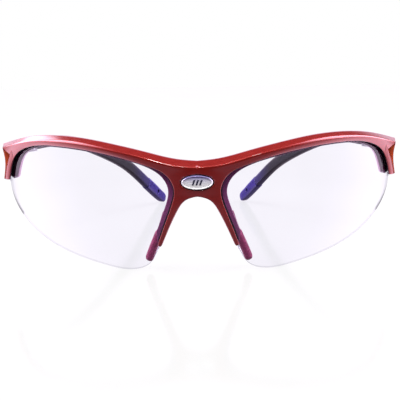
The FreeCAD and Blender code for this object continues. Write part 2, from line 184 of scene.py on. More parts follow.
def eased(values, start, end):
    """0 before start, 1 after end, smooth between."""
    share = np.clip((np.asarray(values, float) - start) / (end - start), 0, 1)
    return share * share * (3 - 2 * share)


# ---- meshes --------------------------------------------------------------------------------------
def sheet(bm, rows, dark=range(0)):
    """A grid of quads over rows of points; the columns called dark take the second finish."""
    made = [[bm.verts.new(point) for point in row] for row in rows]
    for first, second in zip(made, made[1:]):
        for i in range(len(first) - 1):
            face = bm.faces.new((first[i], first[i + 1], second[i + 1], second[i]))
            face.material_index = int(i in dark)


def cap(bm, points, finish=0):
    bm.faces.new([bm.verts.new(point) for point in points]).material_index = finish


def closed_mesh(bm, name, weld=0.004 * MM):
    """Welds the sheets into one closed skin with outward normals."""
    bmesh.ops.remove_doubles(bm, verts=bm.verts, dist=weld)
    bmesh.ops.dissolve_degenerate(bm, dist=weld, edges=bm.edges)
    bmesh.ops.recalc_face_normals(bm, faces=bm.faces)
    for face in bm.faces:
        face.smooth = True
    for edge in bm.edges:
        edge.smooth = edge.calc_face_angle(0) < SHARP
    mesh = bpy.data.meshes.new(name)
    bm.to_mesh(mesh)
    bm.free()
    return mesh


def piece(name, mesh, body, slot, *nodes):
    """Puts a mesh in the scene, riding on a body, in place of CAD nodes."""
    made = bpy.data.objects.new(name, mesh)
    bpy.context.scene.collection.objects.link(made)
    made.data.materials.append(materials[slot])
    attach(made, body)
    if nodes:
        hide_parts(*nodes)
    return made


def mirror_bm(bm):
    """Adds the wearer's right half."""
    copy = bmesh.ops.duplicate(bm, geom=bm.verts[:] + bm.edges[:] + bm.faces[:])
    for element in copy["geom"]:
        if isinstance(element, bmesh.types.BMVert):
            element.co.x = -element.co.x


def soften(made, width, segments=3, angle=28):
    """Rounds the sharp edges and keeps the faces between them clean."""
    bevel = made.modifiers.new("rounded_edges", "BEVEL")
    bevel.width = width * MM
    bevel.segments = segments
    bevel.limit_method = "ANGLE"
    bevel.angle_limit = math.radians(angle)
    bevel.use_clamp_overlap = False
    bevel.miter_outer = "MITER_ARC"
    weighted = made.modifiers.new("clean_normals", "WEIGHTED_NORMAL")
    weighted.keep_sharp = False


def each_side(points, side):
    return [Vector((side * p.x, p.y, p.z)) for p in points]


# ---- front frame ---------------------------------------------------------------------------------
N_HOOK, N_BROW, N_BRIDGE, N_LEG = 16, 84, 20, 26
N_SIDE = 12                     # of the hook's stations, those that the outer strip takes
BAR = N_HOOK + N_BROW           # station where the brow reaches the middle plane
ROUNDING = 6                    # points on each rounded corner
# sizes of each profile's rounded corners, the shell's groove by corner number, and the rounded ends at
# the hook and at the nose leg
SHELL_CORNERS = (0, 0.3, 0, 0.8) + (0,) * len(FACE_SHARES) + (0.28, 0, 0, 0, 0)
# The groove's faces take the black finish: unpainted plastic there, and also painted shade for the groove's
# shadow.
SHELL_GROOVE = range(5 + len(FACE_SHARES), 9 + len(FACE_SHARES))
RIM_CORNERS = (0, 0.35, 0, 0.3, 0.45, 0.35, 0)
SHELL_ENDS, RIM_ENDS = (0.22, 0.8), (0.3, 0.3)


def rounded(corners, radii):
    """The open line through these corners, each one cut by a small curve of its own size."""
    line = []
    for i, (corner, radius) in enumerate(zip(corners, radii)):
        if radius == 0:
            line.append(corner)
            continue
        arms = []
        for j in (i - 1, i + 1):
            arm = corners[j] - corner
            arms.append(arm * min(radius * MM / max(arm.length, 1e-9), 0.45 if radii[j] else 0.95))
        for share in np.linspace(0, 1, ROUNDING):
            line.append(corner + arms[0] * (1 - share) ** 2 + arms[1] * share ** 2)
    return line


def end_rows(row, outward, size):
    """Rows that round off a solid's end."""
    middle = sum(row, Vector()) / len(row)
    rows = []
    for angle in np.radians((35, 65, 88)):
        less = size * MM * (1 - math.cos(angle))
        rows.append([p + (middle - p) * min(less / max((middle - p).length, 1e-9), 0.5)
                     + outward * size * MM * math.sin(angle) for p in row])
    return rows


def band(name, profiles, radii, ends, dark):
    """Both halves of a band across the front: rounded profiles swept from hook to nose leg. The sides of
    the profile that end at the corners called dark take the second finish."""
    rows = [rounded(corners, radii) for corners in profiles]
    columns = [i for i, radius in enumerate(radii) for _ in range(ROUNDING if radius else 1)]
    dark = [i - 1 for i, corner in enumerate(columns) if corner in dark]
    first = end_rows(rows[0], (rows[0][0] - rows[1][0]).normalized(), ends[0])
    last = end_rows(rows[-1], (rows[-1][0] - rows[-2][0]).normalized(), ends[1])
    bm = bmesh.new()
    sheet(bm, first[::-1] + rows + last, dark)
    for end in (first[-1], last[-1]):
        cap(bm, end[:-1])
    on_middle = [f for f in bm.faces if all(abs(v.co.x) < 1e-7 for v in f.verts)]
    bmesh.ops.delete(bm, geom=on_middle, context="FACES")
    mirror_bm(bm)
    return closed_mesh(bm, name)


def face_radius(share, top, flat):
    """Ball of the front face, this share of the way from its upper or outer edge to its lower one."""
    fall = flat * share + (1 - flat) * share ** 2.2
    return top + (R_UNDER_EDGE - top) * fall + FACE_BULGE * flat * 4 * share * (1 - share)


def front_frame():
    """The red shell: a bevelled top, a deeper outer strip, a front face and a groove for the lens."""
    counts = (N_HOOK, N_BROW, N_BRIDGE, N_LEG)
    under = stations(UNDERSIDE, (0, 2.1, 8.0, 9.3, 12), counts)
    brow = stations(BROW_TOP, (0, 7), (N_BROW,))
    corner = N_HOOK - N_SIDE
    edge = np.concatenate([stations(SIDE_EDGE, (0, 3), (N_SIDE,)), straight(SIDE_EDGE[-1], brow[0], corner),
                           brow[1:]])
    top_ridge = stations(RIDGE, (0, 7), (N_BROW,))
    step = np.array(SIDE_EDGE[-1]) + (-0.1, 0.15)
    ridge = np.concatenate([stations(SIDE_RIDGE, (0, 3), (N_SIDE,)), [step],
                            straight(step, top_ridge[0], corner - 1), top_ridge[1:]])
    nose = stations(NOSE_SIDE, (0, 4), (N_LEG,))
    down_middle = straight(ridge[-1], nose[0], N_BRIDGE)
    near = np.concatenate([ridge, down_middle, nose[1:]])
    near_back = np.concatenate([edge, down_middle, nose[1:]])
    total = len(under)
    number = np.arange(total)
    near_radius = np.interp(number, (0, BAR, BAR + N_BRIDGE, total - 1),
                            (R_RIDGE, R_RIDGE, R_ARCH, R_LEG_TIP))
    edge_radius = np.interp(number, (N_SIDE, N_HOOK + 1), (R_STRIP_TOP, R_TOP_EDGE))
    outer = np.concatenate([edge[:N_SIDE + 1], near[N_SIDE + 1:]])
    flat = 1 - eased(number, BAR - 25, BAR)
    held = shifted(under, LENS_HELD * (1 - 0.55 * eased(number, total - 16, total - 1)))
    lens_seat = R_LENS_FRONT + FIT

    profiles = []
    for i in range(total):
        hidden = 1 - np.linalg.norm(near[i] - under[i]) / np.linalg.norm(outer[i] - under[i])
        face = []
        for t in (0,) + FACE_SHARES:
            radius = face_radius(hidden + (1 - hidden) * t, near_radius[i], flat[i])
            face.append(place(*(near[i] * (1 - t) + under[i] * t), radius))
        ridge_point = face[0]
        if i <= N_SIDE:
            feet = []
            for x, z in (edge[i], near[i]):
                feet.append(place(x, z, min(ball_radius(x, SIDE_FLOOR_Y, z), near_radius[i] - STRIP_LEAST)))
            start = [place(*edge[i], R_FACE_BACK)] + feet
        elif i <= BAR:
            top_edge = place(*edge[i], edge_radius[i])
            start = [place(*edge[i], R_FACE_BACK), top_edge, (top_edge + ridge_point) / 2]
        elif i <= BAR + N_BRIDGE:
            start = [ridge_point] * 3
        else:
            back = place(*near[i], R_FACE_BACK)
            start = [back, (2 * back + ridge_point) / 3, (back + 2 * ridge_point) / 3]
        profiles.append(start + face + [
            place(*under[i], R_UNDER_EDGE), place(*under[i], lens_seat), place(*held[i], lens_seat),
            place(*held[i], R_FACE_BACK), place(*near_back[i], R_FACE_BACK)])
    mesh = band("front_shell", profiles, SHELL_CORNERS, SHELL_ENDS, SHELL_GROOVE)
    made = piece("front_shell", mesh, "front", "red_lacquer", "front_frame")
    # Second finish: black on the lens groove's faces, partly unpainted plastic and partly painted shade for
    # the groove's shadow.
    made.data.materials.append(materials["groove_black_and_painted_shade"])
    # Painted light: the outer strip's forward-facing floor takes a bright orange copy of the red lacquer,
    # standing in for the side light that falls on it.
    made.data.materials.append(materials["strip_lacquer_painted_light"])
    strip_depth = DATUM_Y + SIDE_FLOOR_Y * MM
    for face in mesh.polygons:
        if abs(face.center.y - strip_depth) < FIT * MM and face.normal.y < -0.99:
            face.material_index = 2
    return made


# ---- inner rim -----------------------------------------------------------------------------------
def inner_rim():
    """The plum rim behind the lenses: a closed band from hook to hook, with a nose arm on each side."""
    counts = (N_HOOK, N_BROW, N_BRIDGE, N_LEG)
    inner = stations(RIM_LENS_SIDE, (0, 2.1, 8.0, 9.3, 11), counts)
    edge = np.concatenate([stations(RIM_HOOK, (0, 3), (N_HOOK,)), stations(RIM_TOP, (0, 7), (N_BROW,))[1:]])
    nose = stations(RIM_NOSE_SIDE, (0, 4), (N_LEG,))
    near = np.concatenate([edge, straight(edge[-1], nose[0], N_BRIDGE), nose[1:]])
    # Painted shade: the rim is black from its hidden edge to this line, just past the red shell's
    # underside, where the shell's step shades it.
    shade_line = shifted(stations(UNDERSIDE, (0, 2.1, 8.0, 9.3, 12), counts), -SHADE_LINE_WIDE)
    profiles = []
    for i in range(len(inner)):
        front, back = place(*near[i], R_RIM_FRONT), place(*near[i], R_RIM_BACK)
        if BAR < i <= BAR + N_BRIDGE:
            start, end = [front, front], [back, back]
        else:
            middle = (front + back) / 2
            start, end = [middle, front], [back, middle]
        profiles.append(start + [place(*shade_line[i], R_RIM_FRONT), place(*inner[i], R_RIM_FRONT),
                                 place(*inner[i], R_RIM_BACK)] + end)
    mesh = band("rim_shell", profiles, RIM_CORNERS, RIM_ENDS, (2,))
    made = piece("rim_shell", mesh, "front", "plum_plastic", "inner_rim")
    # Second finish: painted shade, the black line along the shell's edge.
    made.data.materials.append(materials["groove_black_and_painted_shade"])


# ---- lenses --------------------------------------------------------------------------------------
N_LENS, N_LENS_ROWS = 150, 18
LESS_AT_HOOK, LESS_AT_NOSE = 0.5, 0.7   # how much less the lens reaches under the shell at its corners


def lens(side, name):
    """A clear shell between two balls, with softly rounded edges all round."""
    fade = np.linspace(0, 1, N_LENS + 1)
    held = LENS_HELD - LESS_AT_HOOK * eased(fade, 0.06, 0) - LESS_AT_NOSE * eased(fade, 0.88, 1)
    upper = shifted(stations(UNDERSIDE, (0, 12), (N_LENS,)), held)
    lower = stations(LENS_FREE_EDGE, (0, 9), (N_LENS,))
    upper[0], upper[-1] = lower[0], lower[-1]
    shares = np.linspace(0, 1, N_LENS_ROWS)
    bm = bmesh.new()
    for radius in (R_LENS_FRONT, R_LENS_BACK):
        sheet(bm, [each_side([place(*(a * (1 - t) + b * t), radius) for t in shares], side)
                   for a, b in zip(upper, lower)])
    for border in (upper, lower):
        sheet(bm, [each_side([place(*p, R_LENS_FRONT), place(*p, R_LENS_BACK)], side) for p in border])
    made = piece("lens_shell_" + name, closed_mesh(bm, name), "front", "clear_lens", "lens_" + name)
    soften(made, 0.22, angle=50)


# ---- nose pads -----------------------------------------------------------------------------------
PAD_MIDDLE = [(10.5, 19.9), (12.6, 13.4), (15.15, 7.2), (17.1, 2.05)]
PAD_HALF_WIDE = 1.42
PAD_SHOULDER = 0.40             # share of its length where the pad steps out from behind the nose arm
R_PAD_BACK, R_PAD_BEHIND_ARM, R_PAD_FRONT = 79.3, 82.3, 84.7
N_PAD, N_PAD_RING = 44, 28


def nose_pad(side, name):
    """A soft slipper: full size round the arm's end, thinner and narrower where it lies behind the arm."""
    middle = stations(PAD_MIDDLE, (0, 3), (N_PAD,))
    along = np.gradient(middle, axis=0)
    along /= np.linalg.norm(along, axis=1)[:, None]
    share = np.linspace(0, 1, N_PAD + 1)
    rounding = np.sqrt(np.clip(1 - (1 - np.minimum(share / 0.05, 1)) ** 2, 0, 1)) \
        * np.sqrt(np.clip(1 - (1 - np.minimum((1 - share) / 0.09, 1)) ** 2, 0, 1))
    rounding = np.maximum(rounding, 0.05)
    below_arm = eased(share, PAD_SHOULDER - 0.02, PAD_SHOULDER + 0.02)
    front = R_PAD_BEHIND_ARM + (R_PAD_FRONT - R_PAD_BEHIND_ARM) * below_arm
    wide = PAD_HALF_WIDE * (0.72 + 0.28 * eased(share, PAD_SHOULDER - 0.02, PAD_SHOULDER + 0.03))
    bm = bmesh.new()
    rows = []
    for i in range(N_PAD + 1):
        half_deep = (front[i] - R_PAD_BACK) / 2
        row = []
        for angle in np.linspace(0, 2 * math.pi, N_PAD_RING + 1):
            out = math.copysign(abs(math.cos(angle)) ** 0.7, math.cos(angle)) * wide[i] * rounding[i]
            deep = math.copysign(abs(math.sin(angle)) ** 0.7, math.sin(angle)) * half_deep * rounding[i]
            x = middle[i, 0] - along[i, 1] * out
            z = middle[i, 1] + along[i, 0] * out
            row.append(place(x, z, R_PAD_BACK + half_deep + deep))
        rows.append(each_side(row, side))
    sheet(bm, rows)
    cap(bm, rows[0][:-1])
    cap(bm, rows[-1][:-1])
    made = piece("soft_pad_" + name, closed_mesh(bm, name), "front", "plum_rubber", "nose_pad_" + name)
    made.modifiers.new("smooth", "SUBSURF").render_levels = 1


# ---- temples -------------------------------------------------------------------------------------
REST_ANGLE = math.radians(22.95)
# distance along from the hinge, offset outwards and height of the temple's middle line
TEMPLE_PATH = [(0.8, 1.2, 38.0), (12, 1.1, 38.8), (24, 0.6, 38.7), (36, 0.0, 37.1), (50, -0.5, 33.4),
               (64, -0.7, 28.7), (80, -0.6, 22.2), (98, -0.3, 12.1), (106, -0.2, 7.42), (113, 0, 3.48),
               (118, 0, 1.03)]
# distance along, half thickness and half height
ARM_SECTIONS = [(0.8, 2.0, 2.3), (12, 1.95, 2.15), (24, 1.85, 2.2), (50, 1.75, 2.4), (80, 1.75, 2.45),
                (98, 1.75, 2.5)]
LINER_SECTIONS = [(10, 1.95, 1.6), (24, 1.85, 1.65), (50, 1.75, 1.8), (80, 1.75, 1.85), (97.6, 1.75, 1.9)]
TIP_SECTIONS = [(98, 2.0, 2.7), (106, 2.0, 2.7), (113, 1.9, 2.55)]
ARM_START, TIP_START, TIP_ROUNDED, TIP_END = 0.8, 98.0, 113.0, 118.0
LINER_START, LINER_END = 10.0, 97.6
INNER_FACE = (0.36, 0.90)       # share of the way round a section where the arm's dark side begins and ends
LINER_HALF, LINER_SINK, LINER_DROP = 0.65, 0.25, 0.35
N_RING = 40
SQUARENESS = 3.2
ARM_RIDGE = 0.45                # the outer face's crease, at the hinge; it fades towards the ear
CORD_HOLE_AT, CORD_HOLE_RADIUS = 107.5, 1.0
KNUCKLE_ROOM = 2.0


def temple_path(along):
    """Offset outwards, height and slope of the temple's path at these distances along it."""
    dense = spline(TEMPLE_PATH)(np.linspace(0, len(TEMPLE_PATH) - 1, 3000))
    out = np.interp(along, dense[:, 0], dense[:, 1])
    height = np.interp(along, dense[:, 0], dense[:, 2])
    slope = np.interp(along, dense[:, 0], np.gradient(dense[:, 2], dense[:, 0]))
    return out, height, slope


def temple_place(out, along, height, side):
    """A point given along the left temple, in the frame's metres; side -1 gives the right one."""
    joint = next(j for j in frame["joints"] if j["name"] == "temple_fold_left")
    x = joint["pos_m"][0] + (out * math.cos(REST_ANGLE) - along * math.sin(REST_ANGLE)) * MM
    y = joint["pos_m"][1] + (out * math.sin(REST_ANGLE) + along * math.cos(REST_ANGLE)) * MM
    return Vector((side * x, y, DATUM_Z + height * MM))


def ring(along, thick, tall, side, out=0.0, up=0.0, ridge=0.0):
    """One rounded section across the temple, closed on itself."""
    middle_out, height, slope = (float(v) for v in temple_path(along))
    lean = math.atan(slope)
    row = []
    for angle in np.linspace(0, 2 * math.pi, N_RING + 1):
        across = math.copysign(abs(math.cos(angle)) ** (2 / SQUARENESS), math.cos(angle)) * thick
        rise = math.copysign(abs(math.sin(angle)) ** (2 / SQUARENESS), math.sin(angle)) * tall
        if across > 0:
            across += ridge * (0.5 - abs(rise) / tall)
        rise += up
        row.append(temple_place(middle_out + out + across, along - rise * math.sin(lean),
                                height + rise * math.cos(lean), side))
    return row


def tube(bm, rows, dark=range(0)):
    sheet(bm, rows, dark)
    cap(bm, rows[0][:-1], int(len(dark) > 0))
    cap(bm, rows[-1][:-1], int(len(dark) > 0))


def rounded_ends(start, end, radius, step):
    """Distances along, closer together at the ends, with each one's share of the full section."""
    turn = np.linspace(0, math.pi / 2, 6)
    first = start + radius * (1 - np.cos(turn))
    middle = np.arange(start + radius + step, end - radius - step / 2, step)
    distances = np.concatenate([first, middle, end - radius * (1 - np.cos(turn[::-1]))])
    inset = np.concatenate([radius * (1 - np.sin(turn)), 0 * middle, radius * (1 - np.sin(turn[::-1]))])
    return distances, inset


def carve(made, cutter_mesh):
    """Cuts a closed mesh out of a piece."""
    cutter = bpy.data.objects.new("cutter", cutter_mesh)
    bpy.context.scene.collection.objects.link(cutter)
    cut = made.modifiers.new("cut", "BOOLEAN")
    cut.object = cutter
    cut.operation = "DIFFERENCE"
    cut.solver = "EXACT"
    bpy.context.view_layer.update()
    evaluated = made.evaluated_get(bpy.context.evaluated_depsgraph_get())
    carved = bpy.data.meshes.new_from_object(evaluated)
    made.modifiers.remove(cut)
    made.data = carved
    bpy.data.objects.remove(cutter)


def rod(start, end, radius, count=40):
    """A closed round cutter between two points."""
    axis = (end - start).normalized()
    side = axis.orthogonal().normalized()
    other = axis.cross(side)
    bm = bmesh.new()
    rows = []
    for at in (start, end):
        rows.append([at + (side * math.cos(a) + other * math.sin(a)) * radius
                     for a in np.linspace(0, 2 * math.pi, count + 1)])
    tube(bm, rows)
    return closed_mesh(bm, "rod")


def temple_arm(side, name):
    """The red arm, with room for the front leaf's knuckles at its front end."""
    sizes = spline(ARM_SECTIONS)(np.linspace(0, len(ARM_SECTIONS) - 1, 600))
    distances, inset = rounded_ends(ARM_START, TIP_START, 0.35, 1.3)
    bm = bmesh.new()
    rows = []
    for along, less in zip(distances, inset):
        thick = np.interp(along, sizes[:, 0], sizes[:, 1]) - less
        tall = np.interp(along, sizes[:, 0], sizes[:, 2]) - less
        rows.append(ring(along, thick, tall, side, ridge=ARM_RIDGE * (1 - eased(along, 30, 85))))
    tube(bm, rows, range(*(round(share * N_RING) for share in INNER_FACE)))
    mesh = closed_mesh(bm, name)
    made = piece("arm_" + name, mesh, "temple_" + name, "red_lacquer", "temple_arm_" + name)
    made.data.materials.append(materials["arm_black"])
    axis = [temple_place(0, 0, height, side) for height in (30, 46)]
    carve(made, rod(*axis, KNUCKLE_ROOM * MM))
    soften(made, 0.12, angle=40)


def temple_liner(side, name):
    """The soft strip on the arm's inner face."""
    sizes = np.array(LINER_SECTIONS)
    distances, inset = rounded_ends(LINER_START, LINER_END, 0.5, 1.3)
    bm = bmesh.new()
    rows = []
    for along, less in zip(distances, inset):
        thick = np.interp(along, sizes[:, 0], sizes[:, 1])
        tall = np.interp(along, sizes[:, 0], sizes[:, 2])
        rows.append(ring(along, LINER_HALF - less, tall - less, side, out=LINER_SINK - thick,
                         up=-LINER_DROP))
    tube(bm, rows)
    mesh = closed_mesh(bm, name)
    piece("grip_" + name, mesh, "temple_" + name, "navy_rubber", "temple_liner_" + name)


def temple_tip(side, name):
    """The rubber sleeve on the arm's end, rounded at the tip, with a cord hole through it."""
    sizes = np.array(TIP_SECTIONS)
    edge_size = 0.3
    quarter = np.linspace(0, math.pi / 2, 5)
    middle = np.arange(TIP_START + 1, TIP_ROUNDED, 0.9)
    distances = np.concatenate([TIP_START + edge_size * (1 - np.cos(quarter)), middle])
    inset = np.concatenate([edge_size * (1 - np.sin(quarter)), 0 * middle])
    rows = []
    bm = bmesh.new()
    for along, less in zip(distances, inset):
        thick = np.interp(along, sizes[:, 0], sizes[:, 1])
        tall = np.interp(along, sizes[:, 0], sizes[:, 2])
        rows.append(ring(along, thick - less, tall - less, side))
    for turn in np.linspace(0, 1, 14)[1:]:
        along = TIP_ROUNDED + (TIP_END - TIP_ROUNDED) * math.sin(turn * math.pi / 2)
        left = max(math.cos(turn * math.pi / 2), 0.04)
        rows.append(ring(along, sizes[-1, 1] * left ** 0.75, sizes[-1, 2] * left ** 0.75, side))
    tube(bm, rows)
    mesh = closed_mesh(bm, name)
    made = piece("sleeve_" + name, mesh, "temple_" + name, "tip_rubber", "temple_tip_" + name)
    out, height, _ = (float(v) for v in temple_path(CORD_HOLE_AT))
    ends = [temple_place(out + reach, CORD_HOLE_AT, height, side) for reach in (-4, 4)]
    carve(made, rod(*ends, CORD_HOLE_RADIUS * MM))
    soften(made, 0.15, angle=40)


# ---- badge ---------------------------------------------------------------------------------------
BADGE_Z = 30.3
BADGE_HALF_LONG, BADGE_HALF_SHORT = 5.0, 2.25
BADGE_FLOOR = 87.9
BADGE_SURROUND = 0.40           # gap between the badge and its recess
# distance in from the badge's edge, and height above its floor
BADGE_PROFILE = [(0, 0), (0, 0.75), (0.06, 0.92), (0.18, 1.0), (0.32, 0.96), (0.4, 0.82), (0.46, 0.7)]
FIELD_DOME = 0.12
MARK_HALF_WIDE, MARK_PITCH, MARK_LEAN, MARK_HALF_TALL = 0.3, 1.15, 0.3, 0.85
MARK_PROUD, MARK_DEEP = 0.06, 0.4


def oval_row(less, radius, share=1.0, count=96):
    """A closed oval round the badge's middle, this much inside its edge."""
    row = []
    for angle in np.linspace(0, 2 * math.pi, count + 1):
        x = (BADGE_HALF_LONG - less) * share * math.cos(angle)
        z = BADGE_Z + (BADGE_HALF_SHORT - less) * share * math.sin(angle)
        row.append(place(x, z, radius))
    return row


def badge():
    """A silver oval with a raised bright rim and a slightly domed field, three leaning bars inlaid."""
    bm = bmesh.new()
    rows = [oval_row(less, BADGE_FLOOR + high) for less, high in BADGE_PROFILE]
    less, high = BADGE_PROFILE[-1]
    for share in (0.96, 0.85, 0.7, 0.5, 0.3, 0.1):
        rows.append(oval_row(less, BADGE_FLOOR + high + FIELD_DOME * (1 - share ** 2), share))
    tube(bm, rows)
    piece("badge_oval", closed_mesh(bm, "badge_oval"), "front", "badge_metal", "badge_plate")

    top = BADGE_FLOOR + high + FIELD_DOME + MARK_PROUD
    bm = bmesh.new()
    for middle in (-MARK_PITCH, 0, MARK_PITCH):
        corners = []
        for across, rise in ((-1, -1), (1, -1), (1, 1), (-1, 1)):
            x = middle + across * MARK_HALF_WIDE + rise * MARK_LEAN
            corners.append((x, BADGE_Z + rise * MARK_HALF_TALL))
        low = [place(*c, top - MARK_DEEP) for c in corners]
        upper = [place(*c, top) for c in corners]
        sheet(bm, [low + low[:1], upper + upper[:1]])
        cap(bm, low)
        cap(bm, upper)
    made = piece("badge_bars", closed_mesh(bm, "badge_bars"), "front", "badge_inlay", "badge_mark")
    soften(made, 0.06)


def badge_recess():
    """The cutter for the badge's seat in the bridge."""
    bm = bmesh.new()
    rows = [oval_row(-BADGE_SURROUND, BADGE_FLOOR - 0.02), oval_row(-BADGE_SURROUND, BADGE_FLOOR + 3)]
    tube(bm, rows, range(len(rows[0])))
    return closed_mesh(bm, "recess")


# ---- materials -----------------------------------------------------------------------------------
TIP_BLUE = (0.028, 0.017, 0.13)
FADE_FROM, FADE_TO = 38.0, 64.0     # frame Y, in millimetres, where the temples turn from black to blue


class Paint:
    """One node material: its principled shader, with textures in object coordinates (millimetres)."""

    def __init__(self, name):
        self.made = bpy.data.materials.new(name)
        self.made.use_nodes = True
        self.tree = self.made.node_tree
        self.shader = self.tree.nodes["Principled BSDF"]
        self.output = self.tree.nodes["Material Output"]
        coordinates = self.add("ShaderNodeTexCoord")
        scale = self.add("ShaderNodeVectorMath", operation="SCALE")
        scale.inputs["Scale"].default_value = 1000
        self.join(coordinates.outputs["Object"], scale.inputs[0])
        self.where = scale.outputs[0]

    def add(self, kind, **settings):
        node = self.tree.nodes.new(kind)
        for key, value in settings.items():
            setattr(node, key, value)
        return node

    def join(self, source, target):
        self.tree.links.new(source, target)

    def set(self, **values):
        for key, value in values.items():
            self.shader.inputs[key.replace("_", " ")].default_value = value

    def noise(self, scale, detail=3.0, stretch=(1, 1, 1)):
        """Soft noise between 0 and 1, this many bumps to the millimetre."""
        stretched = self.add("ShaderNodeVectorMath", operation="MULTIPLY")
        stretched.inputs[1].default_value = stretch
        self.join(self.where, stretched.inputs[0])
        made = self.add("ShaderNodeTexNoise")
        made.inputs["Scale"].default_value = scale
        made.inputs["Detail"].default_value = detail
        self.join(stretched.outputs[0], made.inputs["Vector"])
        return made.outputs["Fac"]

    def cells(self, scale):
        made = self.add("ShaderNodeTexVoronoi")
        made.inputs["Scale"].default_value = scale
        self.join(self.where, made.inputs["Vector"])
        return made

    def ramp(self, source, *stops):
        """Colours or levels along a value."""
        made = self.add("ShaderNodeValToRGB")
        bar = made.color_ramp
        for at, _ in stops[2:]:
            bar.elements.new(at)
        for element, (at, colour) in zip(bar.elements, sorted(stops, key=lambda stop: stop[0])):
            element.position = at
            element.color = colour + (1,) if isinstance(colour, tuple) else (colour, colour, colour, 1)
        self.join(source, made.inputs["Fac"])
        return made.outputs["Color"]

    def fade_to_tip(self, colour):
        """Turns a colour into the tips' blue along the last part of the temple."""
        split = self.add("ShaderNodeSeparateXYZ")
        self.join(self.where, split.inputs[0])
        share = self.add("ShaderNodeMapRange", interpolation_type="SMOOTHSTEP")
        share.inputs["From Min"].default_value, share.inputs["From Max"].default_value = FADE_FROM, FADE_TO
        self.join(split.outputs["Y"], share.inputs["Value"])
        mixed = self.add("ShaderNodeMix", data_type="RGBA")
        self.join(share.outputs[0], mixed.inputs["Factor"])
        self.join(colour, mixed.inputs["A"])
        mixed.inputs["B"].default_value = TIP_BLUE + (1,)
        return mixed.outputs["Result"]

    def bump(self, height, strength, distance):
        made = self.add("ShaderNodeBump")
        made.inputs["Strength"].default_value = strength
        made.inputs["Distance"].default_value = distance * MM
        self.join(height, made.inputs["Height"])
        self.join(made.outputs["Normal"], self.shader.inputs["Normal"])
        return made.outputs["Normal"]


def lacquer(name, dark, light):
    """Metallic paint under a glossy clear coat, with fine flakes."""
    paint = Paint(name)
    paint.set(Metallic=0.5, Coat_Weight=1.0, Coat_Roughness=0.035, Coat_IOR=1.55)
    flakes = paint.cells(14)
    paint.join(paint.ramp(flakes.outputs["Color"], (0.2, dark), (0.85, light)),
               paint.shader.inputs["Base Color"])
    paint.join(paint.ramp(paint.noise(0.35), (0.3, 0.30), (0.7, 0.38)), paint.shader.inputs["Roughness"])
    paint.bump(flakes.outputs["Distance"], 0.12, 0.02)
    return paint.made


def plum_plastic():
    """Satin plum moulding, dark and slightly blue."""
    paint = Paint("plum_plastic")
    paint.set(Coat_Weight=0.35, Coat_Roughness=0.15)
    paint.join(paint.ramp(paint.noise(0.25), (0.3, (0.20, 0.032, 0.13)), (0.75, (0.26, 0.045, 0.17))),
               paint.shader.inputs["Base Color"])
    paint.join(paint.ramp(paint.noise(2.0), (0.3, 0.26), (0.7, 0.36)), paint.shader.inputs["Roughness"])
    paint.bump(paint.noise(5.0), 0.10, 0.02)
    return paint.made


def rubber(name, dark, light, roughness, sheen=0.0, fades=False):
    """Soft elastomer: matt, with a fine moulded grain. The kind that fades turns blue towards the tip."""
    paint = Paint(name)
    paint.set(Sheen_Weight=sheen, Sheen_Roughness=0.4, Specular_IOR_Level=0.35)
    colour = paint.ramp(paint.noise(0.5), (0.3, dark), (0.7, light))
    if fades:
        colour = paint.fade_to_tip(colour)
    paint.join(colour, paint.shader.inputs["Base Color"])
    paint.join(paint.ramp(paint.noise(1.5), (0.3, roughness - 0.05), (0.7, roughness + 0.07)),
               paint.shader.inputs["Roughness"])
    paint.bump(paint.noise(6.0, 2.0), 0.22, 0.03)
    return paint.made


def bright_metal(name, dark, light, roughness, stretch):
    """Metal with fine brushing along one direction."""
    paint = Paint(name)
    paint.set(Metallic=1.0)
    brushed = paint.noise(1.0, 4.0, stretch)
    paint.join(paint.ramp(brushed, (0.3, dark), (0.7, light)), paint.shader.inputs["Base Color"])
    paint.join(paint.ramp(brushed, (0.3, roughness), (0.7, roughness + 0.12)),
               paint.shader.inputs["Roughness"])
    paint.bump(brushed, 0.08, 0.01)
    return paint.made


def badge_metal():
    """Satin silver, brushed lengthwise, with a painted reflection: white low down, turning darker lavender
    at the top, as a domed bright face would reflect the room.
    """
    paint = Paint("badge_metal")
    paint.set(Metallic=0.35, Coat_Weight=0.3, Coat_Roughness=0.1)
    # Painted reflection: the colour runs from white at the badge's bottom to darker lavender at its top.
    height = paint.add("ShaderNodeSeparateXYZ")
    paint.join(paint.where, height.inputs[0])
    middle = (DATUM_Z / MM) + BADGE_Z
    share = paint.add("ShaderNodeMapRange")
    share.inputs["From Min"].default_value = middle - BADGE_HALF_SHORT
    share.inputs["From Max"].default_value = middle + BADGE_HALF_SHORT
    paint.join(height.outputs["Z"], share.inputs["Value"])
    shade = paint.ramp(share.outputs[0], (0.25, (1.0, 0.99, 1.0)), (0.55, (0.92, 0.88, 1.0)),
                       (0.85, (0.30, 0.25, 0.52)))
    brushed = paint.noise(1.0, 4.0, (0.4, 1, 6))
    mixed = paint.add("ShaderNodeVectorMath", operation="MULTIPLY")
    paint.join(shade, mixed.inputs[0])
    paint.join(paint.ramp(brushed, (0.3, 0.85), (0.7, 1.0)), mixed.inputs[1])
    paint.join(mixed.outputs[0], paint.shader.inputs["Base Color"])
    paint.join(paint.ramp(brushed, (0.3, 0.22), (0.7, 0.34)), paint.shader.inputs["Roughness"])
    paint.bump(brushed, 0.06, 0.01)
    return paint.made


def washer_nylon():
    """Milky off-white nylon."""
    paint = Paint("washer_nylon")
    paint.set(Subsurface_Weight=0.2, Subsurface_Scale=0.5 * MM)
    paint.join(paint.ramp(paint.noise(1.2), (0.3, (0.62, 0.60, 0.55)), (0.7, (0.74, 0.72, 0.68))),
               paint.shader.inputs["Base Color"])
    paint.join(paint.ramp(paint.noise(3.0), (0.3, 0.4), (0.7, 0.5)), paint.shader.inputs["Roughness"])
    paint.bump(paint.noise(8.0), 0.1, 0.02)
    return paint.made


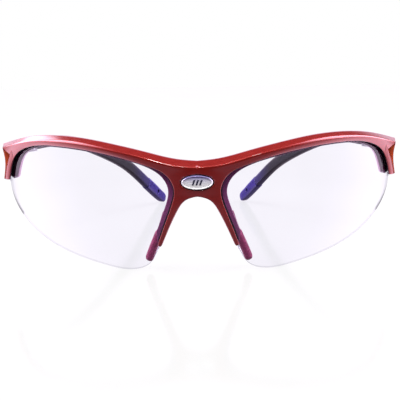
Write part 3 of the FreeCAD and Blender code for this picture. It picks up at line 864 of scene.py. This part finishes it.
def clear_lens():
    """Clear, faintly lavender polycarbonate: painted grey shade where it is seen edge-on, standing in for
    the refraction at the edge; real reflections in front.
    """
    paint = Paint("clear_lens")
    see = paint.add("ShaderNodeBsdfTransparent")
    facing = paint.add("ShaderNodeLayerWeight")
    facing.inputs["Blend"].default_value = 0.5
    # Painted shade: the see-through colour turns grey where the lens is seen edge-on.
    tint = paint.ramp(facing.outputs["Facing"], (0.0, (0.962, 0.958, 0.984)), (0.62, (0.955, 0.950, 0.980)),
                      (0.97, (0.62, 0.62, 0.65)))
    cloud = paint.ramp(paint.noise(0.06, 1.0), (0.3, 0.992), (0.7, 1.0))
    mixed = paint.add("ShaderNodeVectorMath", operation="MULTIPLY")
    paint.join(tint, mixed.inputs[0])
    paint.join(cloud, mixed.inputs[1])
    paint.join(mixed.outputs[0], see.inputs["Color"])
    gloss = paint.add("ShaderNodeBsdfGlossy")
    gloss.inputs["Roughness"].default_value = 0.02
    fresnel = paint.add("ShaderNodeFresnel")
    fresnel.inputs["IOR"].default_value = 1.45
    shadow = paint.add("ShaderNodeLightPath").outputs["Is Shadow Ray"]
    inside = paint.add("ShaderNodeNewGeometry").outputs["Backfacing"]
    share = fresnel.outputs["Fac"]
    for hidden in (shadow, inside):
        shown = paint.add("ShaderNodeMath", operation="SUBTRACT")
        shown.inputs[0].default_value = 1.0
        paint.join(hidden, shown.inputs[1])
        product = paint.add("ShaderNodeMath", operation="MULTIPLY")
        paint.join(share, product.inputs[0])
        paint.join(shown.outputs[0], product.inputs[1])
        share = product.outputs[0]
    mix = paint.add("ShaderNodeMixShader")
    paint.join(share, mix.inputs["Fac"])
    paint.join(see.outputs[0], mix.inputs[1])
    paint.join(gloss.outputs[0], mix.inputs[2])
    paint.join(mix.outputs[0], paint.output.inputs["Surface"])
    return paint.made


materials = {
    "red_lacquer": lacquer("red_lacquer", (0.20, 0.005, 0.004), (0.29, 0.009, 0.005)),
    # Painted light: a bright orange copy of the red lacquer, as if strongly lit from the side.
    "strip_lacquer_painted_light": lacquer("strip_lacquer_painted_light", (0.85, 0.11, 0.035), (0.95, 0.15, 0.05)),
    "plum_plastic": plum_plastic(),
    "plum_rubber": rubber("plum_rubber", (0.25, 0.020, 0.090), (0.31, 0.030, 0.12), 0.5, sheen=0.1),
    "arm_black": rubber("arm_black", (0.010, 0.004, 0.008), (0.018, 0.006, 0.014), 0.35, fades=True),
    # Black for the lens groove, partly unpainted plastic and partly painted shade, and for the painted
    # shade line on the rim.
    "groove_black_and_painted_shade": rubber("groove_black_and_painted_shade", (0.010, 0.004, 0.008), (0.016, 0.006, 0.012), 0.45),
    "clear_lens": clear_lens(),
    "badge_metal": badge_metal(),
    "badge_inlay": rubber("badge_inlay", (0.010, 0.010, 0.030), (0.020, 0.018, 0.050), 0.35),
    "hinge_metal": bright_metal("hinge_metal", (0.42, 0.42, 0.44), (0.56, 0.56, 0.58), 0.25, (0.5, 0.5, 6)),
    "screw_steel": bright_metal("screw_steel", (0.60, 0.60, 0.61), (0.72, 0.72, 0.73), 0.18, (3, 3, 0.5)),
    "washer_nylon": washer_nylon(),
    "navy_rubber": rubber("navy_rubber", (0.004, 0.003, 0.006), (0.007, 0.005, 0.012), 0.48, fades=True),
    "tip_rubber": rubber("tip_rubber", (0.028, 0.018, 0.15), (0.045, 0.026, 0.22), 0.32),
}

# ---- the goggles ---------------------------------------------------------------------------------
shell = front_frame()
carve(shell, badge_recess())
inner_rim()
badge()
SIDES = ((1, "left"), (-1, "right"))
for side, name in SIDES:
    for build in (lens, nose_pad, temple_arm, temple_liner, temple_tip):
        build(side, name)
HINGE_NODES = {
    "hinge_leaf_front": "hinge_metal",
    "hinge_leaf_temple": "hinge_metal",
    "hinge_screw": "screw_steel",
    "hinge_washers": "washer_nylon",
    "leaf_rivets_front": "screw_steel",
    "leaf_rivets_temple": "screw_steel",
}
for _, name in SIDES:
    for part, finish in HINGE_NODES.items():
        node = frame["nodes"][part + "_" + name]
        node.data.materials.clear()
        node.data.materials.append(materials[finish])

# ---- floor, light and camera ---------------------------------------------------------------------
FLOOR_HALF = 3.0
FLOOR_DROP = 0.0002             # keeps the floor clear of the lenses' lower edges
FLOOR_GLOW, FLOOR_GLOSS = 0.92, 0.12
# brightness of what the goggles reflect, and of the soft light from all round
SIDE_WALLS, SIDE_BOXES, WINDOW, CEILING, TABLE_SEEN, BEHIND = 3.2, 9.0, 5.0, 0.10, 0.35, 1.0
REFLECTED_TINT = (0.95, 0.80, 1.0, 1)
FILL = 0.30


def floor():
    """A glossy white table top, wide enough to reach past the picture."""
    bm = bmesh.new()
    high = cad_low[2] - FLOOR_DROP
    corners = [(-1, -1), (1, -1), (1, 1), (-1, 1)]
    bm.faces.new([bm.verts.new((x * FLOOR_HALF, y * FLOOR_HALF, high)) for x, y in corners])
    mesh = bpy.data.meshes.new("floor")
    bm.to_mesh(mesh)
    bm.free()
    made = bpy.data.objects.new("floor", mesh)
    bpy.context.scene.collection.objects.link(made)
    paint = Paint("table_top")
    paint.join(paint.ramp(paint.noise(0.01), (0.3, 0.045), (0.7, 0.055)), paint.shader.inputs["Base Color"])
    paint.set(Specular_IOR_Level=0.0, Emission_Color=(1, 1, 1, 1), Emission_Strength=FLOOR_GLOW)
    shine = paint.add("ShaderNodeBsdfGlossy")
    paint.join(paint.ramp(paint.noise(0.02), (0.3, 0.10), (0.7, 0.13)), shine.inputs["Roughness"])
    mix = paint.add("ShaderNodeMixShader")
    mix.inputs["Fac"].default_value = FLOOR_GLOSS
    paint.join(paint.shader.outputs[0], mix.inputs[1])
    paint.join(shine.outputs[0], mix.inputs[2])
    paint.join(mix.outputs[0], paint.output.inputs["Surface"])
    made.data.materials.append(paint.made)
    made.visible_glossy = False
    made.visible_diffuse = False


def soft_box(name, stands, target, size, power, reflected=True):
    """A rectangular lamp that shines at a target."""
    data = bpy.data.lights.new(name, "AREA")
    data.shape = "RECTANGLE"
    data.size, data.size_y = size
    data.energy = power
    lamp = bpy.data.objects.new(name, data)
    lamp.location = stands
    lamp.rotation_euler = (Vector(target) - Vector(stands)).to_track_quat("-Z", "Y").to_euler()
    lamp.visible_camera = False
    lamp.visible_glossy = reflected
    bpy.context.scene.collection.objects.link(lamp)


def backdrop():
    """White to the camera and soft grey fill. Reflections see tall white boxes at the sides, a pale table,
    a grey ceiling and a dark room behind the camera."""
    world = bpy.data.worlds.new("studio")
    world.use_nodes = True
    bpy.context.scene.world = world
    tree = world.node_tree
    direction = tree.nodes.new("ShaderNodeTexCoord")
    split = tree.nodes.new("ShaderNodeSeparateXYZ")
    tree.links.new(direction.outputs["Generated"], split.inputs[0])

    def math_node(operation, *values):
        node = tree.nodes.new("ShaderNodeMath")
        node.operation = operation
        for value, target in zip(values, node.inputs):
            if isinstance(value, float):
                target.default_value = value
            else:
                tree.links.new(value, target)
        return node.outputs[0]

    def level(value, start, end, low, high):
        node = tree.nodes.new("ShaderNodeMapRange")
        node.interpolation_type = "SMOOTHSTEP"
        for key, number in (("From Min", start), ("From Max", end), ("To Min", low), ("To Max", high)):
            node.inputs[key].default_value = number
        tree.links.new(value, node.inputs["Value"])
        return node.outputs[0]

    across, along, up = split.outputs
    aside = math_node("ABSOLUTE", across)
    turned = math_node("DIVIDE", along, math_node("MAXIMUM", aside, 0.01))
    walls = level(along, -0.62, 0.25, 0.0, SIDE_WALLS)
    walls = math_node("MULTIPLY", walls, level(aside, 0.35, 0.7, 0.0, 1.0))
    walls = math_node("MULTIPLY", walls, level(up, 0.15, 0.35, 1.0, 0.0))
    walls = math_node("MULTIPLY", walls, level(along, 0.25, 0.5, 1.0, 0.0))
    boxes = level(turned, -0.9, -0.2, 0.0, SIDE_BOXES)
    boxes = math_node("MULTIPLY", boxes, level(turned, 0.5, 1.1, 1.0, 0.0))
    boxes = math_node("MULTIPLY", boxes, level(up, 0.1, 0.25, 0.0, 1.0))
    boxes = math_node("MULTIPLY", boxes, level(up, 0.82, 0.92, 1.0, 0.0))
    window = level(across, -0.42, -0.34, WINDOW, 0.0)
    window = math_node("MULTIPLY", window, level(up, 0.60, 0.70, 1.0, 0.0))
    window = math_node("MULTIPLY", window, level(along, 0.4, 0.6, 0.0, 1.0))
    window = math_node("MULTIPLY", window, level(up, 0.28, 0.42, 0.0, 1.0))
    total = math_node("ADD", math_node("ADD", walls, boxes), window)
    total = math_node("ADD", total, level(up, 0.45, 0.85, 0.01, CEILING))
    total = math_node("ADD", total, level(up, -0.40, -0.08, TABLE_SEEN, 0.0))
    total = math_node("ADD", total, level(along, 0.75, 0.9, 0.0, BEHIND))
    path = tree.nodes.new("ShaderNodeLightPath")
    for ray, grey in (("Is Diffuse Ray", FILL), ("Is Camera Ray", 1.0)):
        choice = tree.nodes.new("ShaderNodeMix")
        tree.links.new(path.outputs[ray], choice.inputs["Factor"])
        tree.links.new(total, choice.inputs["A"])
        choice.inputs["B"].default_value = grey
        total = choice.outputs["Result"]
    tree.links.new(total, tree.nodes["Background"].inputs["Strength"])
    tint = tree.nodes.new("ShaderNodeMix")
    tint.data_type = "RGBA"
    tint.inputs["A"].default_value = (1, 1, 1, 1)
    tint.inputs["B"].default_value = REFLECTED_TINT
    tree.links.new(path.outputs["Is Glossy Ray"], tint.inputs["Factor"])
    tree.links.new(tint.outputs["Result"], tree.nodes["Background"].inputs["Color"])


CAMERA_BACK = 0.250             # from the datum to the camera
CAMERA_LEFT, CAMERA_HIGH = 0.0045, 0.06515
CAMERA_TURN, CAMERA_DOWN, CAMERA_TILT = (math.radians(a) for a in (-0.85, 9.2, -0.9))
PICTURE_WIDTHS_AWAY = 798 / 400


def camera():
    """In front of the bridge and a little above it, with the photo's small turn and tilt."""
    data = bpy.data.cameras.new("camera")
    data.sensor_width = 36
    data.lens = 36 * PICTURE_WIDTHS_AWAY
    made = bpy.data.objects.new("camera", data)
    forward = Vector((math.sin(CAMERA_TURN) * math.cos(CAMERA_DOWN),
                      math.cos(CAMERA_TURN) * math.cos(CAMERA_DOWN), -math.sin(CAMERA_DOWN)))
    level = Vector((math.cos(CAMERA_TURN), -math.sin(CAMERA_TURN), 0))
    upward = level.cross(forward)
    right = level * math.cos(CAMERA_TILT) + upward * math.sin(CAMERA_TILT)
    top = upward * math.cos(CAMERA_TILT) - level * math.sin(CAMERA_TILT)
    place_at = Vector((CAMERA_LEFT, DATUM_Y - CAMERA_BACK, DATUM_Z + CAMERA_HIGH))
    made.matrix_world = Matrix.Translation(place_at) @ Matrix((right, top, -forward)).transposed().to_4x4()
    bpy.context.scene.collection.objects.link(made)
    bpy.context.scene.camera = made


floor()
backdrop()
camera()
soft_box("overhead", (0, -0.10, 0.9), (0, 0, 0), (1.2, 0.8), 6.5, reflected=False)
soft_box("front_lamp_right", (-0.10, -0.64, 0.80), (0, -0.07, 0.04), (0.09, 0.5), 4.5)
soft_box("front_lamp_left", (0.21, -0.56, 0.78), (0, -0.07, 0.04), (0.08, 0.6), 1.0)
bpy.context.scene.view_settings.view_transform = "Standard"
